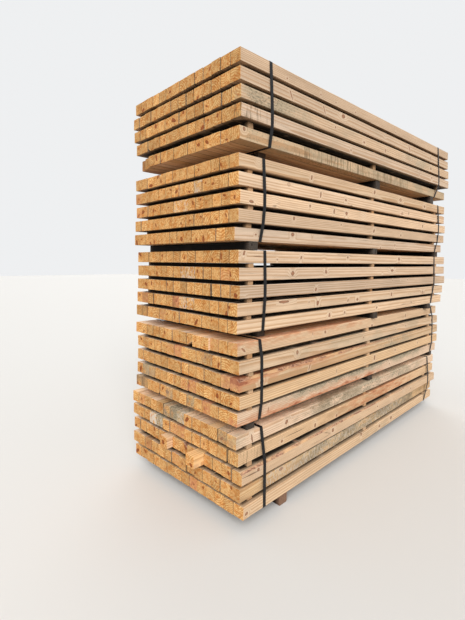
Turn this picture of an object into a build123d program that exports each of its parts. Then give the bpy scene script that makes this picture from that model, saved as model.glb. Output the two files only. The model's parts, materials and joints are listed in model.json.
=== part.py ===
from build123d import *

import os
from dataclasses import dataclass
from math import cos, radians, tan
from random import Random

# A yard stack of sawn softwood posts. Each pack is five courses of posts laid side by side on
# thin stickers and held by two straps, and the packs stand on each other with bearers between.
# +X runs along the posts, -X is the end that faces the reader and -Y is the long side beside it.
# Packs and courses are counted from the top, the order in which they are lifted off, and the
# posts of a course are counted from the -Y side.

# Posts
post_width = 77.0
post_height = 75.0
post_length = 3000.0
post_arris = 3.0
posts_across = 14
courses_in_pack = 5

# Stickers, the laths between the courses of a pack
sticker_width = 38.0
sticker_height = 25.0
sticker_recess = 6.0
sticker_from_near_end = 105.0
sticker_from_far_end = 213.0
raised_sticker_height = 40.0
raised_gaps = {(1, 4)}

# Bearers, the thick pieces that leave room for forks below each pack
bearer_width = 70.0
bearer_arris = 5.0
bearer_front_recess = 15.0
bearer_back_recess = 12.0
middle_bearer_shift = 75.0
strap_to_bearer = 6.0

# Ground bearers; all but the near one lie well back from the front
ground_bearer_width = 75.0
ground_bearer_height = 75.0
ground_bearer_recess = 160.0
ground_bearer_from_end = 405.0

# Straps
strap_width = 25.0
strap_thickness = 1.2
strap_slack = 0.5

# How unevenly the posts of a course stand at the end
end_stagger = 3.5
course_wander = 3.0


@dataclass(frozen=True)
class PackPlace:
    """How one pack was set down, and where its straps and the bearers below it are."""

    shift_x: float
    shift_y: float
    turn: float
    seam: float
    near_strap: float
    far_strap: float
    bearer_height: float
    near_bearer_recess: float
    bearers_inside_straps: bool


# The last pack stands on the ground bearers, so its bearer values are those of the ground bearers
packs = (
    PackPlace(-5, -28, -0.75, 4.0, 245, 269, 75, 105, True),
    PackPlace(-15, -18, -0.30, 2.0, 196, 180, 50, 10, False),
    PackPlace(20, 0, -0.80, 3.0, 208, 276, 50, 70, True),
    PackPlace(5, 16, 0.50, 1.0, 184, 148, 50, 20, False),
    PackPlace(-4, 29, 1.25, 3.0, 200, 182, ground_bearer_height, 5, True),
)

# Courses that slid or turned a little on their stickers: (pack, course): (x, y, degrees)
slipped_courses = {
    (1, 1): (0, 14, 0.0),
    (1, 2): (0, 28, 0.0),
    (1, 3): (0, 16, 0.0),
    (1, 5): (-5, 6, 0.5),
    (2, 3): (0, -12, 0.0),
    (2, 5): (-10, 12, 0.0),
    (3, 3): (0, 7, 0.0),
    (3, 4): (-4, 11, 0.1),
    (3, 5): (-5, 15, 0.3),
    (4, 1): (-3, 8, 0.0),
    (4, 2): (0, -10, 0.0),
    (4, 3): (0, -12, 0.0),
    (4, 4): (0, -11, 0.0),
    (4, 5): (-3, 2, 0.0),
    (5, 1): (-4, 10, -0.4),
    (5, 2): (0, 22, -0.2),
    (5, 3): (5, 2, 0.0),
    (5, 4): (-4, 13, 0.5),
    (5, 5): (7, 6, 0.8),
}
# Courses laid looser or tighter than the rest of their pack
course_seams = {(1, 2): 6.5, (1, 3): 6.0, (1, 5): 0.5, (2, 5): 0.5, (4, 5): 0.5, (5, 3): 4.0}
# Wide seams: (pack, course): (posts before the seam, extra gap)
wide_seams = {(3, 3): (3, 14.0), (3, 4): (1, 5.0), (5, 2): (1, 10.0), (5, 3): (1, 8.0)}
# Posts that stand out or lie back at the near end: (pack, course, post): how far
proud_posts = {
    (1, 5, 12): -20.0,
    (1, 5, 13): -40.0,
    (4, 1, 3): 12.0,
    (4, 1, 4): 12.0,
    (5, 3, 4): 78.0,
    (5, 3, 8): 45.0,
}
# Waney posts, sawn so near the bark that a corner is missing:
# (pack, course, post): (top or bottom, near or far side, size)
waney_posts = {
    (4, 1, 5): ("bottom", "near", 34.0),
    (4, 2, 10): ("top", "near", 14.0),
    (4, 3, 0): ("top", "near", 15.0),
    (4, 3, 1): ("bottom", "near", 13.0),
    (4, 5, 10): ("bottom", "near", 12.0),
    (5, 3, 0): ("top", "near", 11.0),
    (5, 3, 6): ("top", "near", 24.0),
    (2, 1, 9): ("top", "far", 16.0),
    (1, 4, 11): ("bottom", "far", 18.0),
}

chance = Random(7)
wander = {
    (pack, course): chance.uniform(-course_wander, course_wander)
    for pack in range(1, len(packs) + 1)
    for course in range(1, courses_in_pack + 1)
}


def gap_height(pack, gap):
    """Height of a pack's gap, numbered by the course above it."""
    return raised_sticker_height if (pack, gap) in raised_gaps else sticker_height


def course_underside(pack, course):
    """Height of a course above its pack's underside."""
    return sum(post_height + gap_height(pack, gap) for gap in range(course, courses_in_pack))


def pack_height(pack):
    return course_underside(pack, 1) + post_height


def pack_underside(pack):
    """Height of a pack above the ground."""
    lower_packs = range(pack + 1, len(packs) + 1)
    bearers = sum(packs[level - 1].bearer_height for level in range(pack, len(packs) + 1))
    return bearers + sum(pack_height(lower) for lower in lower_packs)


def course_seam(pack, course):
    return course_seams.get((pack, course), packs[pack - 1].seam)


def course_width(pack, course):
    return posts_across * post_width + (posts_across - 1) * course_seam(pack, course)


def wide_seam(pack, course):
    return wide_seams.get((pack, course), (0, 0.0))


def pack_width(pack):
    """Width that the pack's stickers and bearers carry: that of its narrowest course."""
    return min(course_width(pack, course) for course in range(1, courses_in_pack + 1))


def pack_location(pack):
    place = packs[pack - 1]
    return Location((place.shift_x, place.shift_y, pack_underside(pack)), (0, 0, place.turn))


def course_slip(pack, course):
    """How far a course lies off its pack's middle: x, y and degrees."""
    if (pack, course) in slipped_courses:
        return slipped_courses[(pack, course)]
    return (wander[(pack, course)], wander[(pack, course)] / 2, 0.0)


def course_location(pack, course):
    x, y, turn = course_slip(pack, course)
    return pack_location(pack) * Location((x, y, course_underside(pack, course)), (0, 0, turn))


def cross_plane(place):
    """A plane across the posts: its x runs along +Y, its y upwards and its normal along +X."""
    return Plane(place * Plane.YZ.location)


def post_centre_y(pack, course, post):
    """Where the middle of a post lies across its course."""
    pitch = post_width + course_seam(pack, course)
    y = (post - (posts_across - 1) / 2) * pitch
    posts_before, extra_gap = wide_seam(pack, course)
    return y - extra_gap if post < posts_before else y


def saw_corners(section, wane):
    """Give a post's section its arrises and, where the bark was near, one missing corner."""
    sawn = section.vertices()
    if wane:
        level, side, size = wane
        row = sawn.group_by(Axis.Y)[-1 if level == "top" else 0]
        missing = row.sort_by(Axis.X)[0 if side == "near" else -1]
        chamfer(missing, size)
        sawn = section.vertices().sort_by_distance(missing)[2:]
    chamfer(sawn, post_arris)


def make_course(pack, course):
    """One course: posts side by side, with uneven ends and a seam between each two."""
    with BuildPart() as layer:
        for post in range(posts_across):
            stagger = chance.uniform(-end_stagger, end_stagger)
            proud = proud_posts.get((pack, course, post), stagger)
            near_end = Location((-post_length / 2 - proud, post_centre_y(pack, course, post), 0))
            with BuildSketch(cross_plane(course_location(pack, course) * near_end)) as section:
                Rectangle(post_width, post_height, align=(Align.CENTER, Align.MIN))
                saw_corners(section, waney_posts.get((pack, course, post)))
        extrude(amount=post_length)
    return layer.part


def make_stickers(pack):
    """The laths of one pack: three below each course but the last."""
    stations = (
        -post_length / 2 + sticker_from_near_end,
        0.0,
        post_length / 2 - sticker_from_far_end,
    )
    with BuildPart() as laths:
        for gap in range(1, courses_in_pack):
            lath_z = course_underside(pack, gap) - gap_height(pack, gap)
            with BuildSketch(Plane(pack_location(pack) * Location((0, 0, lath_z)))):
                with Locations(*[(x, sticker_y(pack, gap)) for x in stations]):
                    Rectangle(sticker_width, pack_width(pack) - 2 * sticker_recess)
            extrude(amount=gap_height(pack, gap))
    return laths.part


def sticker_y(pack, gap):
    """The middle of a lath, halfway between the courses that it parts."""
    return (course_slip(pack, gap)[1] + course_slip(pack, gap + 1)[1]) / 2


def bearer_stations(pack):
    """Where the three bearers below a pack lie along it, clear of the straps above and below."""
    half = post_length / 2
    touching = packs[pack - 1 : pack + 1]
    reach = strap_width / 2 + strap_to_bearer + bearer_width / 2
    if packs[pack - 1].bearers_inside_straps:
        near = max(place.near_strap for place in touching) + reach
        far = max(place.far_strap for place in touching) + reach
    else:
        near = min(place.near_strap for place in touching) - reach
        far = min(place.far_strap for place in touching) - reach
    return (-half + near, middle_bearer_shift, half - far)


def front_recesses(pack):
    """How far the near, middle and far bearer below a pack lie back from its front."""
    others = ground_bearer_recess if pack == len(packs) else bearer_front_recess
    return (packs[pack - 1].near_bearer_recess, others, others)


def make_bearer_row(pack, stations, width, height):
    """Three sawn pieces across the posts below a pack, their front ends uneven."""
    front = -pack_width(pack) / 2
    back = pack_width(pack) / 2 - bearer_back_recess
    with BuildPart() as row:
        for x, recess in zip(stations, front_recesses(pack)):
            foot = Location((x, front + recess, -height))
            with BuildSketch(Plane(pack_location(pack) * foot * Plane.XZ.location)) as section:
                Rectangle(width, height, align=(Align.CENTER, Align.MIN))
                chamfer(section.vertices(), bearer_arris)
            extrude(amount=front + recess - back)
    return row.part


def make_bearers(pack):
    """The bearers between a pack and the one below it."""
    return make_bearer_row(pack, bearer_stations(pack), bearer_width, packs[pack - 1].bearer_height)


def make_ground_bearers():
    """The bearers on the ground below the lowest pack."""
    end = post_length / 2 - ground_bearer_from_end
    stations = (-end, middle_bearer_shift, end)
    return make_bearer_row(len(packs), stations, ground_bearer_width, ground_bearer_height)


def make_strap(pack, x):
    """One strap drawn tight round all the courses of a pack at x along it."""
    with BuildSketch(Plane.YZ) as wrapped:
        for course in range(1, courses_in_pack + 1):
            slip_x, slip_y, turn = course_slip(pack, course)
            centre_y = slip_y + (x - slip_x) * tan(radians(turn))
            extra_gap = wide_seam(pack, course)[1]
            near_y = centre_y - course_width(pack, course) / 2 / cos(radians(turn)) - extra_gap
            far_y = centre_y + course_width(pack, course) / 2 / cos(radians(turn))
            with Locations(((near_y + far_y) / 2, course_underside(pack, course))):
                Rectangle(far_y - near_y, post_height, align=(Align.CENTER, Align.MIN))
        chamfer(wrapped.vertices(), post_arris)
        make_hull()
    station = Location((x - strap_width / 2, 0, 0))
    inside = strap_slack
    outside = strap_slack + strap_thickness
    with BuildPart() as band:
        for amount, mode in ((outside, Mode.ADD), (inside, Mode.SUBTRACT)):
            with BuildSketch(cross_plane(pack_location(pack) * station)):
                add(wrapped.sketch_local)
                offset(amount=amount, kind=Kind.INTERSECTION, mode=Mode.REPLACE)
            extrude(amount=strap_width, mode=mode)
    return band.part


pieces = {}
for pack, place in enumerate(packs, start=1):
    for course in range(1, courses_in_pack + 1):
        pieces[f"pack_{pack}_course_{course}"] = make_course(pack, course)
    pieces[f"pack_{pack}_stickers"] = make_stickers(pack)
    pieces[f"pack_{pack}_near_strap"] = make_strap(pack, -post_length / 2 + place.near_strap)
    pieces[f"pack_{pack}_far_strap"] = make_strap(pack, post_length / 2 - place.far_strap)
for pack in range(1, len(packs)):
    pieces[f"bearers_below_pack_{pack}"] = make_bearers(pack)
pieces["ground_bearers"] = make_ground_bearers()

# The origin is on the ground, below the middle of the whole stack
whole = Compound(list(pieces.values())).bounding_box()
to_origin = Location((-whole.center().X, -whole.center().Y, -whole.min.Z))

os.makedirs("parts", exist_ok=True)
for name, piece in pieces.items():
    placed = piece.moved(to_origin)
    placed.label = name
    export_step(placed, f"parts/{name}.step")
print("moved to the origin by", to_origin.position)
print("size", whole.size)
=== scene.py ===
"""Visual model of a yard stack of sawn softwood posts in strapped packs.

Every course of posts, lath, bearer and strap is modelled at the place of its CAD node and takes a
wood or plastic finish whose rings, knots and stains follow the piece itself.

+X runs along the posts, -X is the near end, -Y the front. Packs and courses count from the top,
posts from the front. A post's own coordinates are metres from its near end, from its middle
towards the back, and from its middle upwards.
"""

import json
import logging
import math
from dataclasses import dataclass, field
from enum import Enum
from typing import Any, Iterator

import bpy
import numpy as np
from mathutils import Matrix, Vector

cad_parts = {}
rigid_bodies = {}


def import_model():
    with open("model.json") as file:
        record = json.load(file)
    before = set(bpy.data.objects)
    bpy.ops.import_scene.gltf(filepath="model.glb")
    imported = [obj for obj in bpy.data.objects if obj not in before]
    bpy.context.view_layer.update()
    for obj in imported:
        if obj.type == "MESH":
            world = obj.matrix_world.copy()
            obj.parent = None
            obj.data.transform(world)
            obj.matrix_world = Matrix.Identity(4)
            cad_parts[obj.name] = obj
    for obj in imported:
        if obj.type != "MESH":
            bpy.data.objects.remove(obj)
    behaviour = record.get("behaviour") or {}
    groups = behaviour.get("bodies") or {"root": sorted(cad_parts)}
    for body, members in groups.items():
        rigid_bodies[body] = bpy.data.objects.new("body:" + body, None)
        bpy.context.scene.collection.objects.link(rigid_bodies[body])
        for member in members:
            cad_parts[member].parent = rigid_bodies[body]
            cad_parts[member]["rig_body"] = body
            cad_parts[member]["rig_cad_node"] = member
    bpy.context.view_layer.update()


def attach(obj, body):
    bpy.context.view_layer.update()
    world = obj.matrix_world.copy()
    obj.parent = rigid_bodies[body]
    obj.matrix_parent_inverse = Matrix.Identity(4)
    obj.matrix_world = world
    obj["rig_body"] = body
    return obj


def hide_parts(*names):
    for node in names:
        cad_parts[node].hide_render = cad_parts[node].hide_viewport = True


LOG = logging.getLogger("lumber_stack")
BODY = "root"
PACKS = range(1, 6)
COURSES = range(1, 6)

GAMMA = 2.2
TINY = 1e-6
SAME_POINT_DIGITS = 6
SAME_LEVEL = 1e-5

# A stop past every post's far end, in metres, and a distance in knot radii at which no knot shows
WHOLE_LENGTH = 9.0
FAR_FROM_KNOT = 50.0

# How much of a face's normal points one way where it is level, looks that way or is slanted
LEVEL = 0.9
FACING = 0.5
SLANTED = 0.15

Colour = tuple[float, float, float, float]
Pair = tuple[float, float]
Triple = tuple[float, float, float]
PostKey = tuple[int, int, int]

# Which way a stretched knot lies on its face, in degrees from upright
UP = 0.0
ALONG = 90.0


def srgb(red: int, green: int, blue: int) -> Colour:
    """Returns the linear colour of an sRGB one given as 0 to 255."""
    return tuple((channel / 255) ** GAMMA for channel in (red, green, blue)) + (1.0,)


def darker(colour: Colour, share: float) -> Colour:
    """Returns a share of a colour's brightness."""
    return tuple(channel * share for channel in colour[:3]) + (1.0,)


class Face(Enum):
    """A face of a sawn piece."""

    FRONT = "front"
    BACK = "back"
    TOP = "top"
    BOTTOM = "bottom"
    NEAR_END = "near_end"
    FAR_END = "far_end"


LONG_FACES = (Face.FRONT, Face.BACK, Face.TOP, Face.BOTTOM)


class Stain(Enum):
    """What has discoloured a stretch of wood, and the attribute channel that carries it."""

    GREY = 0
    RED = 1
    BROWN = 2
    STREAKS = 3
    WHITE = 4
    BARK = 5


@dataclass(frozen=True)
class Knot:
    """A branch knot on one face of a post.

    On the long faces `u` is metres from the near end, on the ends metres from the middle towards
    the back. `v` is metres from the middle, upwards on upright faces and backwards on level ones.
    `stretch` draws it out to an oval or a spike, and `lean` turns that from upright, in degrees.
    """

    u: float
    v: float
    radius: float
    stretch: float = 1.0
    lean: float = UP
    face: Face = Face.FRONT


@dataclass(frozen=True)
class Patch:
    """A stained stretch of one post, in metres from its near end.

    The stain comes and goes over `blur`, and by default it starts and stops past the post's ends.
    With an `edge`, TOP or BOTTOM, it is full at that side and fades towards the other.
    """

    stain: Stain
    amount: float
    start: float = -1.0
    stop: float = WHOLE_LENGTH
    blur: float = 0.15
    edge: Face | None = None


@dataclass(frozen=True)
class Tone:
    """A piece's colour among its kind: hue from pale pink, -1, to rich yellow, 1, and brightness."""

    hue: float = 0.0
    value: float = 0.0


@dataclass
class Place:
    """Where one sawn piece lies: its near end's middle, its directions, its section and its wane.

    `cuts` is how much of each long corner is missing: front and back, by bottom and top.
    """

    origin: np.ndarray
    axes: np.ndarray
    length: float
    width: float
    height: float
    cuts: np.ndarray

    @classmethod
    def of_solid(cls, points: np.ndarray, across_y: bool) -> "Place":
        """Reads the place of a straight sawn piece from the vertices of its solid.

        Args:
            points: the solid's vertices.
            across_y: whether the piece lies along Y, as laths and bearers do.

        Returns:
            The piece's place, with its own x along its length.
        """
        key = points[:, 1] if across_y else points[:, 0]
        middle = (key.min() + key.max()) / 2
        run = points[key > middle].mean(axis=0) - points[key < middle].mean(axis=0)
        run[2] = 0.0
        along = run / np.linalg.norm(run)
        up = np.array((0.0, 0.0, 1.0))
        axes = np.array((along, np.cross(up, along), up))
        local = points @ axes.T
        low, high = local.min(axis=0), local.max(axis=0)
        origin = np.array((low[0], (low[1] + high[1]) / 2, (low[2] + high[2]) / 2)) @ axes
        cuts = np.zeros((2, 2))
        for i, z in enumerate((low[2], high[2])):
            level = local[np.abs(local[:, 2] - z) < SAME_LEVEL][:, 1]
            cuts[:, i] = level.min() - low[1], high[1] - level.max()
        return cls(origin, axes, *(high - low), cuts)

    def in_stack(self, local: np.ndarray) -> np.ndarray:
        """Returns points given in the piece's own coordinates in those of the stack."""
        return local @ self.axes + self.origin


def solids(node: str) -> list[np.ndarray]:
    """Splits a CAD node into its solids.

    Args:
        node: the node's name.

    Returns:
        The vertices of each solid, merged where they coincide.
    """
    mesh = bpy.data.objects[node].data
    points = np.empty(len(mesh.vertices) * 3)
    mesh.vertices.foreach_get("co", points)
    rounded = np.round(points.reshape(-1, 3), SAME_POINT_DIGITS)
    unique, index = np.unique(rounded, axis=0, return_inverse=True)
    corners = np.empty(len(mesh.polygons) * 3, dtype=int)
    mesh.polygons.foreach_get("vertices", corners)
    triangles = index.reshape(-1)[corners].reshape(-1, 3)
    label, before = np.arange(len(unique)), None
    while before is None or (label != before).any():
        before = label.copy()
        lowest = label[triangles].min(axis=1)
        for side in range(3):
            np.minimum.at(label, triangles[:, side], lowest)
    return [unique[label == name] for name in np.unique(label)]


@dataclass
class TimberShape:
    """A sawn length of timber, modelled once and then fitted to each place.

    Cuts across it part it into stretches of equal length, so that each can carry a knot.
    """

    name: str
    length: float
    width: float
    height: float
    arris: float
    stretches: int = 12
    arris_steps: int = 1
    arris_profile: float = 0.5
    end_break: float = 0.0012

    def model(self) -> None:
        """Models the length with its cuts, arrises and broken end edges."""
        bpy.ops.object.select_all(action="DESELECT")
        bpy.ops.mesh.primitive_cube_add(size=1.0, location=(self.length / 2, 0.0, 0.0))
        self.object = bpy.context.object
        self.object.name = self.name
        self.object.scale = (self.length, self.width, self.height)
        bpy.ops.object.transform_apply(location=True, rotation=False, scale=True)
        bpy.ops.object.mode_set(mode="EDIT")
        bpy.ops.mesh.select_mode(type="EDGE")
        for cut in range(1, self.stretches):
            bpy.ops.mesh.select_all(action="SELECT")
            place = (self.length * cut / self.stretches, 0.0, 0.0)
            bpy.ops.mesh.bisect(plane_co=place, plane_no=(1.0, 0.0, 0.0))
        self.select_edges(along=True)
        bpy.ops.mesh.bevel(
            offset=self.arris, segments=self.arris_steps, profile=self.arris_profile, affect="EDGES"
        )
        self.select_edges(along=False)
        bpy.ops.mesh.bevel(offset=self.end_break, segments=1, affect="EDGES")
        bpy.ops.mesh.select_all(action="SELECT")
        bpy.ops.mesh.normals_make_consistent(inside=False)
        bpy.ops.object.mode_set(mode="OBJECT")
        self.read()

    def select_edges(self, along: bool) -> None:
        """Selects the four long corners, or the rims of both ends.

        Args:
            along: whether the long corners are wanted.
        """
        bpy.ops.mesh.select_all(action="DESELECT")
        bpy.ops.object.mode_set(mode="OBJECT")
        points = [vertex.co for vertex in self.object.data.vertices]
        for edge in self.object.data.edges:
            start, stop = (points[index] for index in edge.vertices)
            if along:
                runs_along = abs(stop.x - start.x) > abs(stop.y - start.y) + abs(stop.z - start.z)
                edge.select = runs_along and self.is_corner(start) and self.is_corner(stop)
            else:
                at_end = min(abs(start.x), abs(start.x - self.length)) < TINY
                edge.select = at_end and abs(stop.x - start.x) < TINY
        bpy.ops.object.mode_set(mode="EDIT")

    def is_corner(self, point: Vector) -> bool:
        """Tells whether a point lies on one of the long corners."""
        return self.width / 2 - abs(point.y) < TINY and self.height / 2 - abs(point.z) < TINY

    def read(self) -> None:
        """Notes where the shape's vertices, faces and face corners lie."""
        mesh = self.object.data
        points = np.empty(len(mesh.vertices) * 3)
        mesh.vertices.foreach_get("co", points)
        self.points = points.reshape(-1, 3)
        self.station = np.rint(self.points[:, 0] / self.length * self.stretches).astype(int)
        self.loop_vertex = np.empty(len(mesh.loops), dtype=int)
        mesh.loops.foreach_get("vertex_index", self.loop_vertex)
        centres = np.array([polygon.center[0] for polygon in mesh.polygons])
        normals = np.array([polygon.normal[:] for polygon in mesh.polygons])
        sizes = np.array([polygon.loop_total for polygon in mesh.polygons])
        stretch = (centres / self.length * self.stretches).astype(int)
        self.loop_stretch = np.repeat(np.clip(stretch, 0, self.stretches - 1), sizes)
        self.loop_normal = np.repeat(normals, sizes, axis=0)
        self.face_is_end = np.abs(normals[:, 0]) > FACING

    def copy(self) -> bpy.types.Object:
        """Copies the shape with its mesh.

        Returns:
            The copy, which is in the scene.
        """
        copy = self.object.copy()
        copy.data = self.object.data.copy()
        bpy.context.scene.collection.objects.link(copy)
        return copy

    def discard(self) -> None:
        """Removes the modelled shape once every piece is fitted."""
        bpy.data.objects.remove(self.object)


@dataclass(frozen=True)
class KnotHabit:
    """How knots come in a kind of timber: how often, how large, and how far apart.

    Lengths are in metres. `jitter` and `apart` are shares of the room that each stretch has.
    """

    share: float = 0.55
    end_share: float = 0.3
    spike_share: float = 0.3
    least: float = 0.005
    most: float = 0.016
    small_bias: float = 1.5
    oval: float = 0.5
    end_piece: float = 0.07
    jitter: Pair = (0.2, 0.8)
    apart: float = 0.45
    end_bias: float = 2.0
    end_reach: float = 0.8
    end_stretch: float = 1.6
    spike_size: float = 0.45
    spike_stretch: float = 4.0
    spike_shift: float = 0.3
    spike_lean: float = 60.0

    def spread(
        self, known: list[Knot], place: Place, stretches: int, random: np.random.Generator
    ) -> tuple[np.ndarray, list[Knot | None]]:
        """Chooses the knots of one piece and the cuts that part them.

        Args:
            known: the knots that the piece is known to have.
            place: where it lies.
            stretches: how many stretches it has, the short one at each end among them.
            random: the source of the draws.

        Returns:
            The places of the cuts along the piece, and one knot or None for each stretch.
        """
        inner, end = stretches - 2, self.end_piece
        near, far = (self.at_end(face, known, place, random) for face in (Face.NEAR_END, Face.FAR_END))
        inside = [knot for knot in known if knot.u > end and knot.face in LONG_FACES]
        kinds: list[Knot | None] = sorted(inside, key=lambda knot: knot.u)
        spots = [knot.u for knot in kinds]
        room = (place.length - 2 * end) / inner
        for spot in end + (np.arange(inner) + random.uniform(*self.jitter, inner)) * room:
            knot = self.by_chance(spot, place, random)
            if len(spots) < inner and all(abs(spot - other) > self.apart * room for other in spots):
                spots.append(spot)
                kinds.append(knot)
        while len(spots) < inner:
            ordered = [end, *sorted(spots), place.length - end]
            widest = int(np.argmax(np.diff(ordered)))
            spots.append((ordered[widest] + ordered[widest + 1]) / 2)
            kinds.append(None)
        order = np.argsort(spots)
        spots = np.array(spots)[order]
        middles = (spots[1:] + spots[:-1]) / 2
        cuts = np.concatenate(([0.0, end], middles, [place.length - end, place.length]))
        return cuts, [near, *(kinds[i] for i in order), far]

    def at_end(
        self, face: Face, known: list[Knot], place: Place, random: np.random.Generator
    ) -> Knot | None:
        """Finds or draws the knot of one sawn end.

        Args:
            face: the near or the far end.
            known: the knots that the piece is known to have.
            place: where it lies.
            random: the source of the draws.

        Returns:
            A knot on that end, one on a long face close to it, or None.
        """
        for knot in known:
            close = face is Face.NEAR_END and knot.u < self.end_piece
            if knot.face is face or (knot.face in LONG_FACES and close):
                return knot
        chance, size, right, up, stretch, turn = random.random(6)
        if chance > self.end_share:
            return None
        radius = self.least + (self.most - self.least) * size**self.end_bias
        u = (right - 0.5) * self.end_reach * place.width
        v = (up - 0.5) * self.end_reach * place.height
        return Knot(u, v, radius * self.end_reach, 1.0 + self.end_stretch * stretch, turn * 180, face)

    def by_chance(self, x: float, place: Place, random: np.random.Generator) -> Knot | None:
        """Draws a knot or a spike on a long face, or None for clear wood.

        Args:
            x: how far along the piece the stretch's middle is.
            place: where the piece lies.
            random: the source of the draws.

        Returns:
            The knot, if the draw gives one.
        """
        chance, size, shift, side, _, spike, turn = random.random(7)
        if chance > self.share:
            return None
        radius = self.least + (self.most - self.least) * size**self.small_bias
        across = (shift - 0.5) * (place.height - 2 * radius)
        face = LONG_FACES[int(side * len(LONG_FACES))]
        if spike < self.spike_share:
            across, radius = across * self.spike_shift, radius * self.spike_size
            return Knot(x, across, radius, self.spike_stretch, (turn - 0.5) * self.spike_lean, face)
        return Knot(x, across, radius, 1.0 + self.oval * turn, ALONG, face)


@dataclass
class Piece:
    """One sawn piece as it lies in its layer, fitted, with what its faces show."""

    index: int
    place: Place
    shape: TimberShape
    is_waney: bool
    knots: list[Knot | None]
    corner: np.ndarray

    def bark(self) -> np.ndarray:
        """Tells where the face of a missing long corner shows bark.

        Returns:
            Whether each face corner lies on bark.
        """
        if not self.is_waney:
            return np.zeros(len(self.corner), dtype=bool)
        missing = np.array(np.unravel_index(self.place.cuts.argmax(), (2, 2)), dtype=bool)
        slanted = np.abs(self.shape.loop_normal[:, 1:]).min(axis=1) > SLANTED
        return slanted & ((self.shape.points[self.shape.loop_vertex, 1:] > 0) == missing).all(axis=1)

    def knot_view(self) -> np.ndarray:
        """Gives each face corner its place relative to its stretch's knot, in knot radii.

        Returns:
            Across the knot in two directions, and how far from its face.
        """
        view = np.full(self.corner.shape, FAR_FROM_KNOT)
        half_y, half_z = self.place.width / 2, self.place.height / 2
        for stretch, knot in enumerate(self.knots):
            if knot is None:
                continue
            here = self.shape.loop_stretch == stretch
            x, y, z = self.corner[here].T
            first, second, deep = {
                Face.FRONT: (x, z, y + half_y),
                Face.BACK: (x, z, half_y - y),
                Face.TOP: (x, y, half_z - z),
                Face.BOTTOM: (x, y, z + half_z),
                Face.NEAR_END: (y, z, x),
                Face.FAR_END: (y, z, self.place.length - x),
            }[knot.face]
            lean = math.radians(knot.lean)
            du, dv = first - knot.u, second - knot.v
            across = (du * math.cos(lean) - dv * math.sin(lean)) / knot.radius
            length = (du * math.sin(lean) + dv * math.cos(lean)) / (knot.radius * knot.stretch)
            view[here] = np.column_stack((across, length, deep / knot.radius))
        return view


@dataclass(frozen=True)
class TimberRules:
    """How far fitted timber strays from a true square prism, in metres or shares."""

    narrow: float = 0.0008
    arris_low: float = 0.3
    arris_high: float = 1.4
    end_tilt: float = 0.0018
    widest_closed: float = 0.0068
    closed_share: float = 0.85
    closing: Pair = (0.36, 0.48)
    waney_from: float = 0.007
    wane_wander: float = 0.35
    wane_taper: float = 1.1
    wane_least: float = 0.2
    wane_most: float = 1.65
    wane_lean: float = 0.034


@dataclass(frozen=True)
class WoodHabit:
    """Where the pith runs in a kind of timber, how its tone varies, and the shade painted into seams.

    Lengths are in metres, tones and shades in the steps of a Tone.
    """

    pith_reach: Pair = (0.015, 0.11)
    pith_slope: float = 0.006
    log_length: float = 40.0
    tone_spread: float = 0.45
    value_spread: float = 0.42
    # Painted shade: darker sides inside seams, and covered tops and bottoms darkening into the gaps
    side_shade: float = 3.6
    gap_shade: float = 5.5
    shade_reach: float = 0.036
    shade_limit: float = 2.0


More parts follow.
